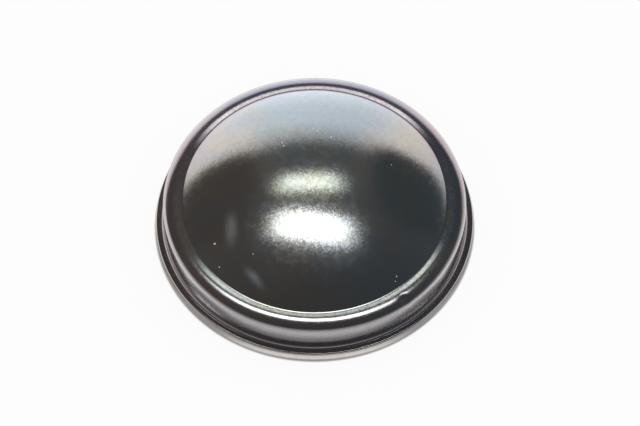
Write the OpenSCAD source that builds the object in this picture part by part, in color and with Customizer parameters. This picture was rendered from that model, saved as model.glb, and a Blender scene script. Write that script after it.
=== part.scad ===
// Pressed steel hub cap: a shallow dome on a stepped skirt with a turned-down rim.
// One sheet, drawn in one piece, so the whole cap is one revolved section.
// The rim's bottom edge lies in the plane z = 0, and the dome points up.

/* [Sheet] */
// Thickness of the sheet
sheet_t = 0.9; // [0.7:0.05:1.05]
// Smallest bend radius on the inner side of the sheet
inner_bend_r = 0.2; // [0.1:0.05:0.35]

/* [Skirt] */
// Inside diameter of the skirt, which is pressed over the hub
seat_d = 61; // [45:0.5:80]
// Height of the flat ledge at the dome's foot, above the rim's bottom edge
body_h = 9.74; // [7.5:0.02:14]
// Outer bend radius between the shoulder and the skirt
shoulder_r = 1.1; // [1:0.05:1.8]
// Inner corner radius at the foot of the skirt, on the outside
skirt_foot_r = 0.6; // [0.3:0.05:0.8]

/* [Rim] */
// How far the rim stands out from the skirt
rim_w = 1.6; // [1.5:0.05:3]
// Height of the rim at its outer edge, above its bottom edge
rim_h = 2.5; // [1.8:0.05:3]
// Angle by which the rim's flange rises from the skirt to its outer edge
rim_rise = 13; // [0:1:15]
// Rounding of the rim's upper edge
rim_edge_r = 0.3; // [0.25:0.05:0.5]
// Rounding of the trimmed edge at the bottom of the rim
trim_r = 0.2; // [0.1:0.05:0.3]

/* [Ledge and shoulder] */
// Width of the ledge's flat, between the hollow at the dome's foot and the crest
ledge_flat = 0.7; // [0.1:0.05:3]
// Bend radius of the crest, where the ledge rolls over into the shoulder
crest_r = 5.2; // [2:0.2:7]
// Slope of the shoulder below the horizontal
shoulder_slope = 25; // [15:1:35]
// Length of the shoulder's straight run, between its two bends
shoulder_run = 0.15; // [0.15:0.05:1.5]

/* [Dome] */
// Height of the dome above the ledge
dome_rise = 6.42; // [5:0.02:10]
// Hollow radius between the dome and the ledge
dome_foot_r = 1.2; // [0.6:0.1:2]

/* [Hidden] */
chord_error = 0.004;                    // largest gap between an arc and its chords
turn_steps = 240;                       // facets once round the axis, for the preview
steel = [0.66, 0.67, 0.68];

skirt_x = seat_d / 2 + sheet_t;         // outside radius of the skirt
rim_x = skirt_x + rim_w;                // outside radius of the rim
foot_z = rim_h - rim_w * tan(rim_rise); // height where the skirt and the flange meet
rim_turn = tan(45 + rim_rise / 2);      // a rim bend's reach from its corner, per radius
// Largest bend that the inner side has room for between the skirt and the rim
foot_room = (rim_w / cos(rim_rise) - 0.05) / rim_turn - inner_bend_r;

// How far each of the shoulder's bends reaches from its corner along the slope
crest_reach = crest_r * tan(shoulder_slope / 2);
shoulder_reach = shoulder_r * tan(45 - shoulder_slope / 2);
shoulder_l = crest_reach + shoulder_run + shoulder_reach;
crest_x = skirt_x - shoulder_l * cos(shoulder_slope);       // corner of ledge and shoulder
shoulder_z = body_h - shoulder_l * sin(shoulder_slope);     // corner of shoulder and skirt

// The hollow rests on the ledge, and the dome is the sphere that touches the hollow
hollow_x = crest_x - crest_reach - ledge_flat;
hollow_z = body_h + dome_foot_r;
dome_r = (hollow_x * hollow_x + dome_rise * dome_rise) / (2 * dome_rise) - dome_foot_r;
dome_z = body_h + dome_rise - dome_r;   // height of the sphere's centre
dome_tilt = atan2(hollow_x, hollow_z - dome_z);

// A surface's tilt is the angle between its outward normal and the vertical:
// 0 on the ledge, 90 on the skirt, 180 on the trimmed edge that faces down
function normal(tilt) = [sin(tilt), cos(tilt)];

// Points of an arc from one tilt to the next, where a hollow arc has a negative radius
function arc(centre, r, from, to) =
    let (step = 2 * acos(1 - chord_error / abs(r)),
         count = max(2, ceil(abs(to - from) / step)))
    [for (i = [0 : count]) centre + r * normal(from + (to - from) * i / count)];

// Bend between two straight runs that meet at a corner. The inner side is the same
// bend set in by the sheet, about the same centre unless it would turn too tight
// or, at the skirt's foot, too wide for the rim
function set_in(r, inset) =
    r > 0 ? max(r - inset, inner_bend_r) : inset > 0 ? -min(inset - r, foot_room) : r;
function bend(corner, from, to, r, inset) =
    let (side = set_in(r, inset),
         across = (normal(from) + normal(to)) / (1 + normal(from) * normal(to)))
    arc(corner - (inset + side) * across, side, from, to);

// One side of the sheet, from the dome's top out and down to the rim
function side_path(inset) = concat(
    arc([0, dome_z], dome_r - inset, 0, dome_tilt),
    arc([hollow_x, hollow_z], -dome_foot_r - inset, dome_tilt, 0),
    bend([crest_x, body_h], 0, shoulder_slope, crest_r, inset),
    bend([skirt_x, shoulder_z], shoulder_slope, 90, shoulder_r, inset),
    bend([skirt_x, foot_z], 90, -rim_rise, -skirt_foot_r, inset),
    bend([rim_x, rim_h], -rim_rise, 90, inset > 0 ? inset + inner_bend_r : rim_edge_r, inset));

// The trimmed edge, rounded on both sides
trimmed_edge = concat(
    bend([rim_x, 0], 90, 180, trim_r, 0),
    bend([rim_x - sheet_t, 0], 180, 270, trim_r, 0));

function reversed(list) = [for (i = [len(list) - 1 : -1 : 0]) list[i]];

module hub_cap() {
    color(steel)
        rotate_extrude($fn = turn_steps)
            polygon(concat(side_path(0), trimmed_edge, reversed(side_path(sheet_t))));
}

hub_cap();
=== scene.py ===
# A pressed steel hub cap with bright zinc plate, on a white table under two soft boxes.
import math

import bpy
import numpy as np
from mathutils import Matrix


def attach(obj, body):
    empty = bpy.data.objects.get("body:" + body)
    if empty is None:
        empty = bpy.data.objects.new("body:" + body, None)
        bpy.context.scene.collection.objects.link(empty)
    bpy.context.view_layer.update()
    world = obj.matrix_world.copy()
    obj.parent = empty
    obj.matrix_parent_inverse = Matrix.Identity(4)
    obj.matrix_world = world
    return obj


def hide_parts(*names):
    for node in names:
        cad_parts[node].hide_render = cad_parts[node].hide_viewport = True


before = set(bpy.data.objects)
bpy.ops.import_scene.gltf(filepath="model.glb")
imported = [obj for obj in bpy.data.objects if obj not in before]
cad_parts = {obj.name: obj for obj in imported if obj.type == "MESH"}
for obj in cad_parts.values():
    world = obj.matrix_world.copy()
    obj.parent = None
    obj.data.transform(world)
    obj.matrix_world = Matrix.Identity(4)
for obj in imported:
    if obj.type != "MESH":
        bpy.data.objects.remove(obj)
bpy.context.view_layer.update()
mm = 0.001


class Wire:  # a node socket that can be added, multiplied and compared like a number
    def __init__(self, tree, socket):
        self.tree, self.socket = tree, socket

    def math(self, operation, *values):
        return Tree(self.tree).node("Math", {"operation": operation},
                                    sockets=dict(enumerate((self, *values))))

    def __add__(self, other):
        return self.math("ADD", other)

    def __sub__(self, other):
        return self.math("SUBTRACT", other)

    def __mul__(self, other):
        return self.math("MULTIPLY", other)

    def __truediv__(self, other):
        return self.math("DIVIDE", other)

    def __pow__(self, other):
        return self.math("POWER", other)

    def __neg__(self):
        return self.math("MULTIPLY", -1.0)

    def __radd__(self, other):
        return self.math("ADD", other)

    def __rmul__(self, other):
        return self.math("MULTIPLY", other)

    def __rsub__(self, other):
        return (-self).math("ADD", other)

    def abs(self):
        return self.math("ABSOLUTE")

    def sqrt(self):
        return self.math("SQRT")

    def atLeast(self, other):
        return self.math("MAXIMUM", other)

    def atMost(self, other):
        return self.math("MINIMUM", other)

    def ease(self, low, high):  # 0 below low, 1 above high, smooth between
        return Tree(self.tree).node("MapRange", {"interpolation_type": "SMOOTHSTEP"}, out="Result",
                                    sockets={"Value": self, "From Min": low, "From Max": high})


def plug(tree, value, slot):  # a wire is linked, and anything else is set as a value
    if isinstance(value, Wire):
        tree.links.new(value.socket, slot)
    else:
        slot.default_value = value


class Tree:  # a node tree with one way to make any node
    def __init__(self, tree):
        self.tree = tree

    def node(self, kind, settings=None, out=0, sockets=None, **values):
        node = self.tree.nodes.new("ShaderNode" + kind)
        for name, value in (settings or {}).items():
            if name == "stops":
                setStops(node, value)
            else:
                setattr(node, name, value)
        for name, value in {**(sockets or {}), **values}.items():
            plug(self.tree, value, node.inputs[name])
        return None if out is None else Wire(self.tree, node.outputs[out])

    def outputs(self, kind, names, sockets=None):  # one node, and a wire from each output named
        node = self.node(kind, sockets=sockets).socket.node
        return [Wire(self.tree, node.outputs[name]) for name in names]

    def split(self, vector):
        return self.outputs("SeparateXYZ", "XYZ", {0: vector})

    def vector(self, operation, a, b=None):
        sockets = {0: a}
        if b is not None:
            sockets["Scale" if operation == "SCALE" else 1] = b
        return self.node("VectorMath", {"operation": operation}, sockets=sockets)

    def blend(self, factor, a, b):  # colour a at factor 0, colour b at factor 1
        return self.node("Mix", {"data_type": "RGBA"}, out=2, sockets={0: factor, 6: a, 7: b})

    def mix(self, factor, a, b):  # shader a at factor 0, shader b at factor 1
        return self.node("MixShader", sockets={0: factor, 1: a, 2: b})

    def ramp(self, value, places, colours):
        return self.node("ValToRGB", {"stops": list(zip(places, colours))}, sockets={0: value})

    def finish(self, shader, target="Material"):
        self.node("Output" + target, out=None, Surface=shader)


def setStops(node, stops):  # places and colours of a colour ramp
    elements = node.color_ramp.elements
    while len(elements) < len(stops):
        elements.new(0.5)
    for element, (place, colour) in zip(elements, stops):
        element.position, element.color = place, rgba(colour)


def rgba(colour):
    return (*colour, 1.0)


def grey(level):
    return rgba((level, level, level))


def newMaterial(name):
    material = bpy.data.materials.new(name)
    material.use_nodes = True
    material.node_tree.nodes.clear()
    return material, Tree(material.node_tree)


def pathKinds(t):
    return t.outputs("LightPath", ("Is Camera Ray", "Is Glossy Ray", "Is Transmission Ray"))


# The cap's section, in millimetres. A bend's tilt is the angle of its outward normal
# from the vertical: 0 on the ledge, 90 on the skirt, 180 on the trimmed edge
cap = {
    "sheet": 0.9, "innerBend": 0.2, "seatRadius": 30.5,
    "bodyHeight": 9.74, "shoulderBend": 1.1, "skirtFoot": 0.6,
    "rimWidth": 1.6, "rimHeight": 2.5, "rimRise": 13.0, "rimEdge": 0.3, "trim": 0.2,
    "shoulderRun": 0.15, "shoulderSlope": 25.0, "crest": 5.2,
    "ledgeFlat": 0.7, "domeRise": 6.42, "domeFoot": 1.2,
    "footGap": 0.05,
    "stepsRound": 356, "longestRun": 0.6, "stepsTrim": 4,
    "stepsOutside": {"dome": 60, "hollow": 16, "crest": 22, "shoulder": 22, "foot": 18, "rim": 18},
    "stepsInside": {"dome": 24, "hollow": 6, "crest": 5, "shoulder": 6, "foot": 8, "rim": 6},
}
skirtX = cap["seatRadius"] + cap["sheet"]
rimX = skirtX + cap["rimWidth"]


# Normal of a tilt: (sin tilt, cos tilt) in radius and height
def normalAt(tilt):
    t = np.radians(tilt)
    return np.stack([np.sin(t), np.cos(t)], -1)


# Arc: centre plus radius times the normal, as the tilt goes evenly from start to end
def arc(centre, radius, start, end, steps):
    tilt = np.linspace(start, end, steps + 1)
    return np.asarray(centre) + radius * normalAt(tilt)


# Radius on one side of the sheet: set in by the sheet, but no tighter than the inner bend
# and, at the skirt's foot, no wider than the rim has room for, which is the rim's sloping
# width less a gap, over the tangent of half the bend, less the inner bend
def setIn(radius, inset):
    rise = math.radians(cap["rimRise"])
    width = cap["rimWidth"] / math.cos(rise) - cap["footGap"]
    room = width / math.tan(math.pi / 4 + rise / 2) - cap["innerBend"]
    if radius > 0:
        return max(radius - inset, cap["innerBend"])
    return -min(inset - radius, room) if inset else radius


# Bend: an arc that touches both straight runs that meet at the corner, set in by the sheet.
# Its centre is the corner less (inset + radius) times the sum of both normals, over 1 plus
# their dot product
def bend(corner, start, end, radius, inset, steps):
    side = setIn(radius, inset)
    a, b = normalAt(start), normalAt(end)
    centre = np.asarray(corner) - (inset + side) * (a + b) / (1 + a @ b)
    return arc(centre, side, start, end, steps)


# One side of the sheet: dome, hollow, crest, shoulder bend, skirt's foot and rim edge.
# The dome's sphere touches the hollow, so its radius is (x squared + rise squared) over
# twice the rise, less the hollow's radius, where x is the hollow's place
def sheetSide(inset, steps):
    c = cap
    slope = c["shoulderSlope"]
    crestReach = c["crest"] * math.tan(math.radians(slope / 2))
    shoulderReach = c["shoulderBend"] * math.tan(math.radians(45 - slope / 2))
    shoulderLength = crestReach + c["shoulderRun"] + shoulderReach
    crestX = skirtX - shoulderLength * math.cos(math.radians(slope))
    shoulderZ = c["bodyHeight"] - shoulderLength * math.sin(math.radians(slope))
    hollowX = crestX - crestReach - c["ledgeFlat"]
    hollowZ = c["bodyHeight"] + c["domeFoot"]
    domeRadius = (hollowX ** 2 + c["domeRise"] ** 2) / (2 * c["domeRise"]) - c["domeFoot"]
    domeZ = c["bodyHeight"] + c["domeRise"] - domeRadius
    domeTilt = math.degrees(math.atan2(hollowX, hollowZ - domeZ))
    footZ = c["rimHeight"] - c["rimWidth"] * math.tan(math.radians(c["rimRise"]))
    edge = inset + c["innerBend"] if inset else c["rimEdge"]
    return np.concatenate([
        arc([0, domeZ], domeRadius - inset, 0, domeTilt, steps["dome"]),
        arc([hollowX, hollowZ], -c["domeFoot"] - inset, domeTilt, 0, steps["hollow"])[1:],
        bend([crestX, c["bodyHeight"]], 0, slope, c["crest"], inset, steps["crest"]),
        bend([skirtX, shoulderZ], slope, 90, c["shoulderBend"], inset, steps["shoulder"]),
        bend([skirtX, footZ], 90, -c["rimRise"], -c["skirtFoot"], inset, steps["foot"]),
        bend([rimX, c["rimHeight"]], -c["rimRise"], 90, edge, inset, steps["rim"])])


# The whole section: outside down, round the trimmed edge, and back up the inside
def capSection():
    return np.concatenate([
        withPoints(sheetSide(0, cap["stepsOutside"]), cap["longestRun"]),
        bend([rimX, 0], 90, 180, cap["trim"], 0, cap["stepsTrim"]),
        bend([rimX - cap["sheet"], 0], 180, 270, cap["trim"], 0, cap["stepsTrim"]),
        sheetSide(cap["sheet"], cap["stepsInside"])[::-1]])


# Extra points on long straight runs: each run is split into equal parts no longer than the limit
def withPoints(path, limit):
    parts = [path[:1]]
    for a, b in zip(path[:-1], path[1:]):
        count = max(1, int(np.ceil(np.hypot(*(b - a)) / limit)))
        parts.append(a + (b - a) * np.linspace(0, 1, count + 1)[1:, None])
    return np.concatenate(parts)


# Surface of revolution: (radius cos turn, radius sin turn, height) on a grid of
# section point by turn, with the two points on the axis as poles
def revolved(name, section, turns, shape=None):
    inside = section[1:-1]
    rings, steps = len(inside), len(turns)
    x = inside[:, :1] * np.cos(turns)
    y = inside[:, :1] * np.sin(turns)
    z = inside[:, 1:] + 0 * turns
    grid = np.stack([x, y, z], -1)
    if shape:
        grid = shape(grid)
    poles = np.array([[0, 0, section[0, 1]], [0, 0, section[-1, 1]]])
    verts = np.concatenate([poles[:1], grid.reshape(-1, 3), poles[1:]]) * mm
    k = np.arange(steps)
    after = (k + 1) % steps
    ring = 1 + np.arange(rings - 1)[:, None] * steps
    quads = np.stack([ring + k, ring + steps + k, ring + steps + after, ring + after], -1)
    top = np.stack([0 * k, 1 + k, 1 + after], -1)
    last = 1 + (rings - 1) * steps
    end = np.stack([0 * k + len(verts) - 1, last + after, last + k], -1)
    faces = [*quads.reshape(-1, 4).tolist(), *top.tolist(), *end.tolist()]
    mesh = bpy.data.meshes.new(name)
    mesh.from_pydata(verts.tolist(), [], faces)
    mesh.shade_smooth()
    mesh.validate()
    piece = bpy.data.objects.new(name, mesh)
    bpy.context.scene.collection.objects.link(piece)
    return piece


# A shallow dent on the shoulder, in millimetres, with its turn in degrees from the x axis
nick = {"radius": 30.2, "turn": -52.5, "height": 8.9, "reach": 0.9, "depth": 0.22,
        "fineTurn": 4.5, "fineSteps": 37}


# Dent: each point moves along the shoulder's inward normal by depth times
# e to the power of minus its squared distance over the squared reach
def dented(grid):
    turn, lean = math.radians(nick["turn"]), math.radians(cap["shoulderSlope"])
    across = np.array([math.cos(turn), math.sin(turn), 0.0])
    place = across * nick["radius"] + np.array([0, 0, nick["height"]])
    inward = -(across * math.sin(lean) + np.array([0, 0, math.cos(lean)]))
    far = ((grid - place) ** 2).sum(-1, keepdims=True) / nick["reach"] ** 2
    return grid + inward * nick["depth"] * np.exp(-far)


# Turns: even steps round, with finer steps beside the dent
def turnsRound():
    even = np.linspace(0, 2 * np.pi, cap["stepsRound"], endpoint=False)
    fine = np.linspace(-nick["fineTurn"], nick["fineTurn"], nick["fineSteps"])
    beside = math.radians(nick["turn"] % 360) + np.radians(fine)
    return np.unique(np.round(np.concatenate([even, beside]), 4))


# Zinc plate. Yellow and blue, laid at random, are the faint colours of its passivated film. Lilac tints
# the skirt and crest, and the lip colour warms the rim. The back ledge colour is a painted reflection:
# a lilac, slightly darker tint on the back half of the ledge
zinc = {
    "colour": (0.68, 0.69, 0.70), "yellow": (0.70, 0.69, 0.63), "blue": (0.63, 0.68, 0.74),
    "lilac": (0.70, 0.67, 0.69), "backLedgeReflection": (0.68, 0.61, 0.72), "lip": (0.74, 0.70, 0.67),
    "tintScale": 70.0, "tintFrom": (0.42, 0.58), "tintShare": 0.55,
    "mottle": 0.08, "mottleScale": 700.0, "mottleFrom": (0.35, 0.75), "mottleColour": 0.1,
    "roughness": 0.13, "roughNoise": 0.05, "roughFrom": (0.4, 0.7),
    "streakRoughness": 0.26, "streakShare": 0.7, "edgePolish": 0.6,
    "grainScale": 3600.0, "grain": 0.022, "grainElsewhere": 0.012,
    "dustColour": (0.75, 0.72, 0.66), "dustShare": 0.6, "dustRoughness": 0.4, "dustMetal": 0.7,
}

# Where a tint starts and where it is full: radius or height in millimetres
zone = {
    "top": (9.5, 10.0), "side": (8.5, 9.2), "sideRadius": (28.2, 29.2),
    "ledge": (9.2, 9.5), "ledgeEnd": (9.8, 10.1), "ledgeRadius": (25.8, 26.4), "ledgeBack": (-0.1, 0.5),
    "lipRadius": (32.5, 32.8), "lipEdge": (2.0, 2.2), "domeRadius": (24.5, 25.8),
}

# Light dust on the dome: x, y and radius in millimetres
dust = [(-20.5, -11.9, 0.28), (-19.5, -17.0, 0.18), (-12.6, -15.3, 0.16), (15.9, 6.0, 0.14),
        (16.75, -19.3, 0.17), (16.5, -20.3, 0.14), (-0.3, 14.7, 0.24), (0.5, 14.1, 0.26),
        (3.4, 12.2, 0.26), (-6.7, 10.8, 0.24), (-6.4, 9.9, 0.20), (21.6, -21.2, 0.20)]
dustCore = 0.35

# Faint wiped streaks: x, y, half length, half width in millimetres, turn in degrees, amount
streaks = [(-17.2, -9.3, 5.6, 2.0, 90.0, 0.9), (-12.3, -20.3, 4.6, 1.5, -50.0, 1.0)]
streakEdge = 1.1


# Specks: each is 1 inside its core and falls smoothly to 0 at its radius
def specks(x, y):
    cover = None
    for left, front, radius in dust:
        away = ((x - left) ** 2 + (y - front) ** 2).sqrt()
        speck = 1.0 - away.ease(dustCore * radius, radius)
        cover = speck if cover is None else cover.atLeast(speck)
    return cover


# Streaks: along and over are the place turned and divided by the half sizes, and
# their distance from the middle fades each streak from its amount to 0
def wiped(x, y):
    cover = None
    for left, front, length, width, turn, amount in streaks:
        c, s = math.cos(math.radians(turn)), math.sin(math.radians(turn))
        along = ((x - left) * c + (y - front) * s) / length
        over = ((y - front) * c - (x - left) * s) / width
        streak = (1.0 - (along ** 2 + over ** 2).sqrt().ease(0.0, streakEdge)) * amount
        cover = streak if cover is None else cover.atLeast(streak)
    return cover


# Grain: the normal plus a small tilt, which is one Voronoi cell's colour less a half
def grainNormal(t, place, dome):
    cells = t.node("TexVoronoi", out="Color", Vector=place, Scale=zinc["grainScale"])
    tilt = zinc["grainElsewhere"] + (zinc["grain"] - zinc["grainElsewhere"]) * dome
    lean = t.vector("SCALE", t.vector("SUBTRACT", cells, (0.5, 0.5, 0.5)), tilt)
    return t.vector("NORMALIZE", t.vector("ADD", t.node("NewGeometry", out="Normal"), lean))


# Plate: a base colour with tints blended over it by radius and height, then streaks and dust
def zincPlate():
    material, t = newMaterial("zincPlate")
    place = t.node("TexCoord", out="Object")
    x, y, z = [axis / mm for axis in t.split(place)]
    reach = (x ** 2 + y ** 2).sqrt()
    top = z.ease(*zone["top"])
    side = (1.0 - z.ease(*zone["side"])).atLeast(reach.ease(*zone["sideRadius"]))
    # Painted reflection: this mask picks the back half of the ledge for a lilac, slightly darker tint
    ledge = reach.ease(*zone["ledgeRadius"]) * (y / reach).ease(*zone["ledgeBack"])
    ledge = ledge * z.ease(*zone["ledge"]) * (1.0 - z.ease(*zone["ledgeEnd"]))
    lip = reach.ease(*zone["lipRadius"])
    dome = top * (1.0 - reach.ease(*zone["domeRadius"]))
    wipe = wiped(x, y) * top
    speck = specks(x, y) * top

    warm = t.node("TexNoise", Vector=place, Scale=zinc["tintScale"], Detail=2.0, Roughness=0.6)
    patch = t.node("TexNoise", Vector=place, Scale=zinc["mottleScale"], Detail=4.0, Roughness=0.7)
    tint = t.blend(warm.ease(*zinc["tintFrom"]), rgba(zinc["yellow"]), rgba(zinc["blue"]))
    colour = t.blend(zinc["tintShare"], rgba(zinc["colour"]), tint)
    # Lilac over the skirt and crest, and a warmer colour on the rim, laid by zone
    colour = t.blend(side, colour, rgba(zinc["lilac"]))
    colour = t.blend(lip, colour, rgba(zinc["lip"]))
    # Painted reflection on the back half of the ledge
    colour = t.blend(ledge, colour, rgba(zinc["backLedgeReflection"]))
    mottle = patch.ease(*zinc["mottleFrom"]) * zinc["mottle"]
    colour = t.blend(mottle, colour, grey(zinc["mottleColour"]))
    colour = t.blend(wipe * zinc["streakShare"], colour, rgba(zinc["blue"]))
    colour = t.blend(speck * zinc["dustShare"], colour, rgba(zinc["dustColour"]))

    rough = zinc["roughness"] + zinc["roughNoise"] * patch.ease(*zinc["roughFrom"])
    rough = rough * (1.0 - zinc["edgePolish"] * lip * z.ease(*zone["lipEdge"]))
    rough = rough + zinc["streakRoughness"] * wipe + zinc["dustRoughness"] * speck
    metal = 1.0 - zinc["dustMetal"] * speck
    t.finish(t.node("BsdfPrincipled", Normal=grainNormal(t, place, dome), Roughness=rough,
                    Metallic=metal, sockets={"Base Color": colour}))
    return material


hubCap = revolved("hubCap", capSection(), turnsRound(), dented)
hubCap.data.materials.append(zincPlate())
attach(hubCap, "root")
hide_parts("hub_cap")
print("cap made:", len(hubCap.data.polygons), "faces")


def flatCard(name, halfX, halfY, material):  # a rectangle about the origin that faces up
    corners = [(-halfX, -halfY, 0), (halfX, -halfY, 0), (halfX, halfY, 0), (-halfX, halfY, 0)]
    mesh = bpy.data.meshes.new(name)
    mesh.from_pydata(corners, [], [(0, 1, 2, 3)])
    mesh.materials.append(material)
    card = bpy.data.objects.new(name, mesh)
    bpy.context.scene.collection.objects.link(card)
    return card


# Table: sizes in metres, and rings, upper and the contact shadow in millimetres from the axis. A ring's
# white is how bright the metal sees it: rings of painted shade and light. Ahead is 1 in front of the
# cap and -1 behind it
table = {
    "halfSize": 3.0, "drop": 0.00005, "colour": 0.9, "cameraWhite": 0.9, "mirrorWhite": 0.9,
    "contactShadow": (33.0, 33.5), "contactShadowDark": 0.3,
    "rings": (33.0, 33.4, 33.9, 34.2, 34.4, 35.1, 35.7, 36.2, 36.8, 38.0),
    "white": (0.15, 0.95, 0.78, 0.95, 0.06, 0.20, 0.48, 0.60, 0.52, 0.46), "rampTop": 2.0,
    "leastTurn": 0.45, "sideLift": 0.28, "liftAhead": (0.55, 0.97),
    "upper": (34.4, 35.6), "upperGain": 1.75, "upperAhead": (0.3, 0.95),
    "footGain": 0.4, "footAhead": (0.75, 0.97),
    "farWhite": 0.55, "far": (37.0, 90.0), "farAhead": (-0.6, 0.9),
}


# Ring: the skirt mirrors the table in rings of even height. Beside the cap a ring of the
# same height lies nearer, so the distance out from the skirt is q, where q squared plus
# 2 q times ahead times the skirt's radius is reach squared less that radius squared
def ringAt(reach, ahead):
    toward = ahead.atLeast(table["leastTurn"]) * skirtX
    out = (toward ** 2 + reach ** 2 - skirtX ** 2).atLeast(0.0).sqrt() - toward
    return skirtX + out * (1.0 - table["sideLift"] * (1.0 - ahead.ease(*table["liftAhead"])))


# The table is near white to the camera, with a painted contact shadow, a dark line where the cap stands
# on it.
# The metal sees rings of painted shade and light about the cap, changed at the sides by two gains, and
# painted shade, grey, farther off
def tableMaterial():
    material, t = newMaterial("whiteTable")
    camera, glossy, through = pathKinds(t)
    x, y, z = [axis / mm for axis in t.split(t.node("TexCoord", out="Object"))]
    reach = (x ** 2 + y ** 2).sqrt()
    ahead = -y / reach
    ring = ringAt(reach, ahead)
    first, last = table["rings"][0], table["rings"][-1]
    # Painted shade and light: the tones of the rings, which the metal mirrors as bands
    white = t.ramp((ring - first) / (last - first),
                   [(r - first) / (last - first) for r in table["rings"]],
                   [[white / table["rampTop"]] * 3 for white in table["white"]])
    upper = ring.ease(*table["upper"])
    gain = 1.0 + (table["upperGain"] - 1.0) * (1.0 - ahead.ease(*table["upperAhead"])) * upper
    gain = gain + (table["footGain"] - 1.0) * (1.0 - ahead.ease(*table["footAhead"])) * (1.0 - upper)
    far = reach.ease(*table["far"]) * ahead.ease(*table["farAhead"])
    seen = white * table["rampTop"] * gain * (1.0 + (table["farWhite"] - 1.0) * far)
    # Painted contact shadow: the camera sees the table darker in a ring where the cap stands on it
    contactShadow = table["contactShadowDark"] + (1.0 - table["contactShadowDark"]) * reach.ease(*table["contactShadow"])
    light = camera * contactShadow + (1.0 - camera) * seen
    share = camera * table["cameraWhite"] + (glossy + through) * table["mirrorWhite"]
    plain = t.node("BsdfDiffuse", Color=grey(table["colour"]))
    t.finish(t.mix(share, plain, t.node("Emission", Color=light, Strength=1.0)))
    return material


floor = flatCard("table", table["halfSize"], table["halfSize"], tableMaterial())
floor.location.z = -table["drop"]

# Soft cards, in metres: two bright soft boxes, and two dark flags close to the cap, which
# only the metal sees and which keep the second soft box off the ledge at both sides
softCards = {
    "mainBox": {"centre": (-0.0260, 0.362, 1.5), "half": (0.284, 0.120), "turn": -9.5,
                "soft": 0.9, "power": 4, "colour": (0.96, 0.99, 1.0), "level": 4.8,
                "margin": 2.0, "lights": True},
    "sideBox": {"centre": (-0.0188, 0.3265, 0.5), "half": (0.103, 0.043), "turn": 2.0,
                "soft": 0.50, "power": 6, "colour": (0.97, 1.0, 0.86), "level": 1.75,
                "margin": 2.0, "lights": True},
    "leftFlag": {"centre": (-0.0390, 0.0130, 0.030), "half": (0.0212, 0.0210), "turn": 0.0,
                 "soft": 0.22, "power": 3, "colour": (0.058, 0.050, 0.045), "level": 1.0,
                 "margin": 1.5, "lights": False},
    "rightFlag": {"centre": (0.0365, 0.0175, 0.030), "half": (0.0180, 0.0205), "turn": 0.0,
                  "soft": 0.25, "power": 3, "colour": (0.038, 0.046, 0.050), "level": 1.0,
                  "margin": 1.5, "lights": False},
}


# Soft card: away is the power-th root of the sum of |x / half|^power and |y / half|^power,
# and the card fades from glowing to clear as away goes from 1 - soft to 1 + soft
def softCard(name, soft):
    material, t = newMaterial(name + "Glow")
    x, y, z = t.split(t.node("TexCoord", out="Object"))
    halfX, halfY = soft["half"]
    power = soft["power"]
    away = ((x / halfX).abs() ** power + (y / halfY).abs() ** power) ** (1 / power)
    window = 1.0 - away.ease(1 - soft["soft"], 1 + soft["soft"])
    glow = t.node("Emission", Color=rgba(soft["colour"]), Strength=soft["level"])
    t.finish(t.mix(window, t.node("BsdfTransparent"), glow))
    card = flatCard(name, soft["margin"] * halfX, soft["margin"] * halfY, material)
    card.location = soft["centre"]
    card.rotation_euler.z = math.radians(soft["turn"])
    card.visible_camera = False
    card.visible_diffuse = soft["lights"]
    card.visible_shadow = False


for name, soft in softCards.items():
    softCard(name, soft)
print("table and soft boxes made")

# Room: a shell that only the metal sees, white low at the back and dark elsewhere. Heights
# and turns are in degrees, and the turns are measured from the back
room = {
    "radius": 3.0, "level": 4.0, "stepsUp": 49, "stepsRound": 64,
    "heights": (0, 6, 12, 18, 24, 29, 32.5, 37, 60),
    "white": (1.7, 1.2, 0.95, 0.85, 0.84, 0.66, 0.52, 0.09, 0.055),
    "turn": -8.0, "fade": (-14.0, 146.0), "edges": (11.0, 27.0), "front": (90.0, 170.0),
    "coolMiddle": (0.90, 0.97, 1.01), "warmEdges": (1.22, 1.13, 1.08),
    "leftDark": (0.060, 0.051, 0.045), "rightDark": (0.038, 0.046, 0.050), "across": (-0.4, 0.4),
    "frontDark": (0.046, 0.044, 0.044), "frontLow": (0.34, 0.34, 0.34), "lowTo": 0.8,
}


def roomColour(name):  # a colour of the room as a share of its level
    return rgba([value / room["level"] for value in room[name]])


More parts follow.
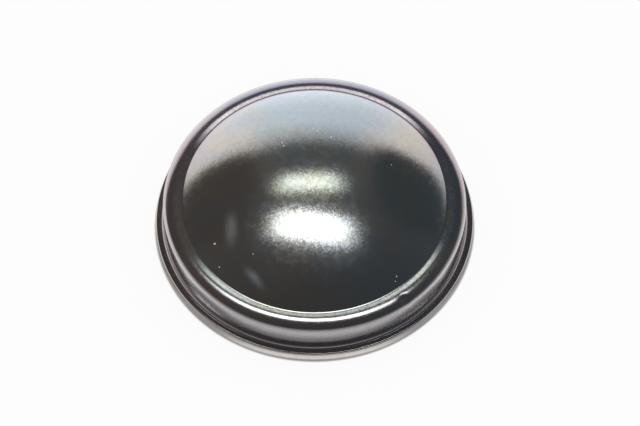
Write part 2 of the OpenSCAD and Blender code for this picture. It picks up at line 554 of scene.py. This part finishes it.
# Backdrop: a ramp over the sine of the height angle, fading with the angle from the back
# into the dark sides and then into the front, which is lighter near the table
def roomShell():
    material, t = newMaterial("darkRoom")
    x, y, z = [axis / room["radius"] for axis in t.split(t.node("TexCoord", out="Object"))]
    back = t.ramp(z, [math.sin(math.radians(a)) for a in room["heights"]],
                  [[white / room["level"]] * 3 for white in room["white"]])
    angle = x.math("ARCTAN2", y).math("DEGREES")
    edges = angle.abs().ease(*room["edges"])
    tint = t.blend(edges, rgba(room["coolMiddle"]), rgba(room["warmEdges"]))
    back = t.vector("MULTIPLY", back, tint)
    low = (1.0 - z.atLeast(0.0).ease(0.0, room["lowTo"])) ** 2
    ahead = t.blend(low, roomColour("frontDark"), roomColour("frontLow"))
    sides = t.blend(x.ease(*room["across"]), roomColour("leftDark"), roomColour("rightDark"))
    dark = t.blend(angle.abs().ease(*room["front"]), sides, ahead)
    off = (angle - room["turn"]).abs().ease(*room["fade"])
    t.finish(t.node("Emission", Color=t.blend(off, back, dark), Strength=room["level"]))
    u = np.linspace(0, np.pi, room["stepsUp"])
    profile = np.stack([np.sin(u), np.cos(u)], -1) * room["radius"] / mm
    turns = np.linspace(0, 2 * np.pi, room["stepsRound"], endpoint=False)
    shell = revolved("roomShell", profile, turns)
    shell.data.materials.append(material)
    shell.visible_camera = False
    shell.visible_diffuse = False
    shell.visible_shadow = False


roomShell()

# World: plain and even, a little brighter where it is seen than where it lights
sky = {"lights": 0.85, "seen": 1.0}
world = bpy.context.scene.world or bpy.data.worlds.new("studio")
bpy.context.scene.world = world
world.use_nodes = True
world.node_tree.nodes.clear()
w = Tree(world.node_tree)
camera, glossy, through = pathKinds(w)
seen = (camera + glossy + through).atMost(1.0)
skyColour = w.blend(seen, grey(sky["lights"]), grey(sky["seen"]))
w.finish(w.node("Background", Color=skyColour, Strength=1.0), "World")
print("room and world made")

# Camera: a long lens from the front, looking down at the cap. The axis is where the
# cap's axis meets the table in the picture, and the middle is the picture's own
photo = {"width": 640, "perMm": 4.8, "distancePx": 5000.0, "elevation": 57.08,
         "axisX": 314.6, "axisY": 225.4, "middleX": 320.0, "middleY": 213.0, "sensor": 36.0}
distance = photo["distancePx"] / photo["perMm"] * mm
lift = math.radians(photo["elevation"])
lens = bpy.data.cameras.new("camera")
lens.sensor_width = photo["sensor"]
lens.lens = lens.sensor_width * photo["distancePx"] / photo["width"]
lens.shift_x = (photo["middleX"] - photo["axisX"]) / photo["width"]
lens.shift_y = (photo["axisY"] - photo["middleY"]) / photo["width"]
view = bpy.data.objects.new("camera", lens)
view.location = (0, -distance * math.cos(lift), distance * math.sin(lift))
view.rotation_euler = (math.pi / 2 - lift, 0, 0)
bpy.context.scene.collection.objects.link(view)
bpy.context.scene.camera = view
bpy.context.scene.view_settings.view_transform = "Standard"
print("camera set")
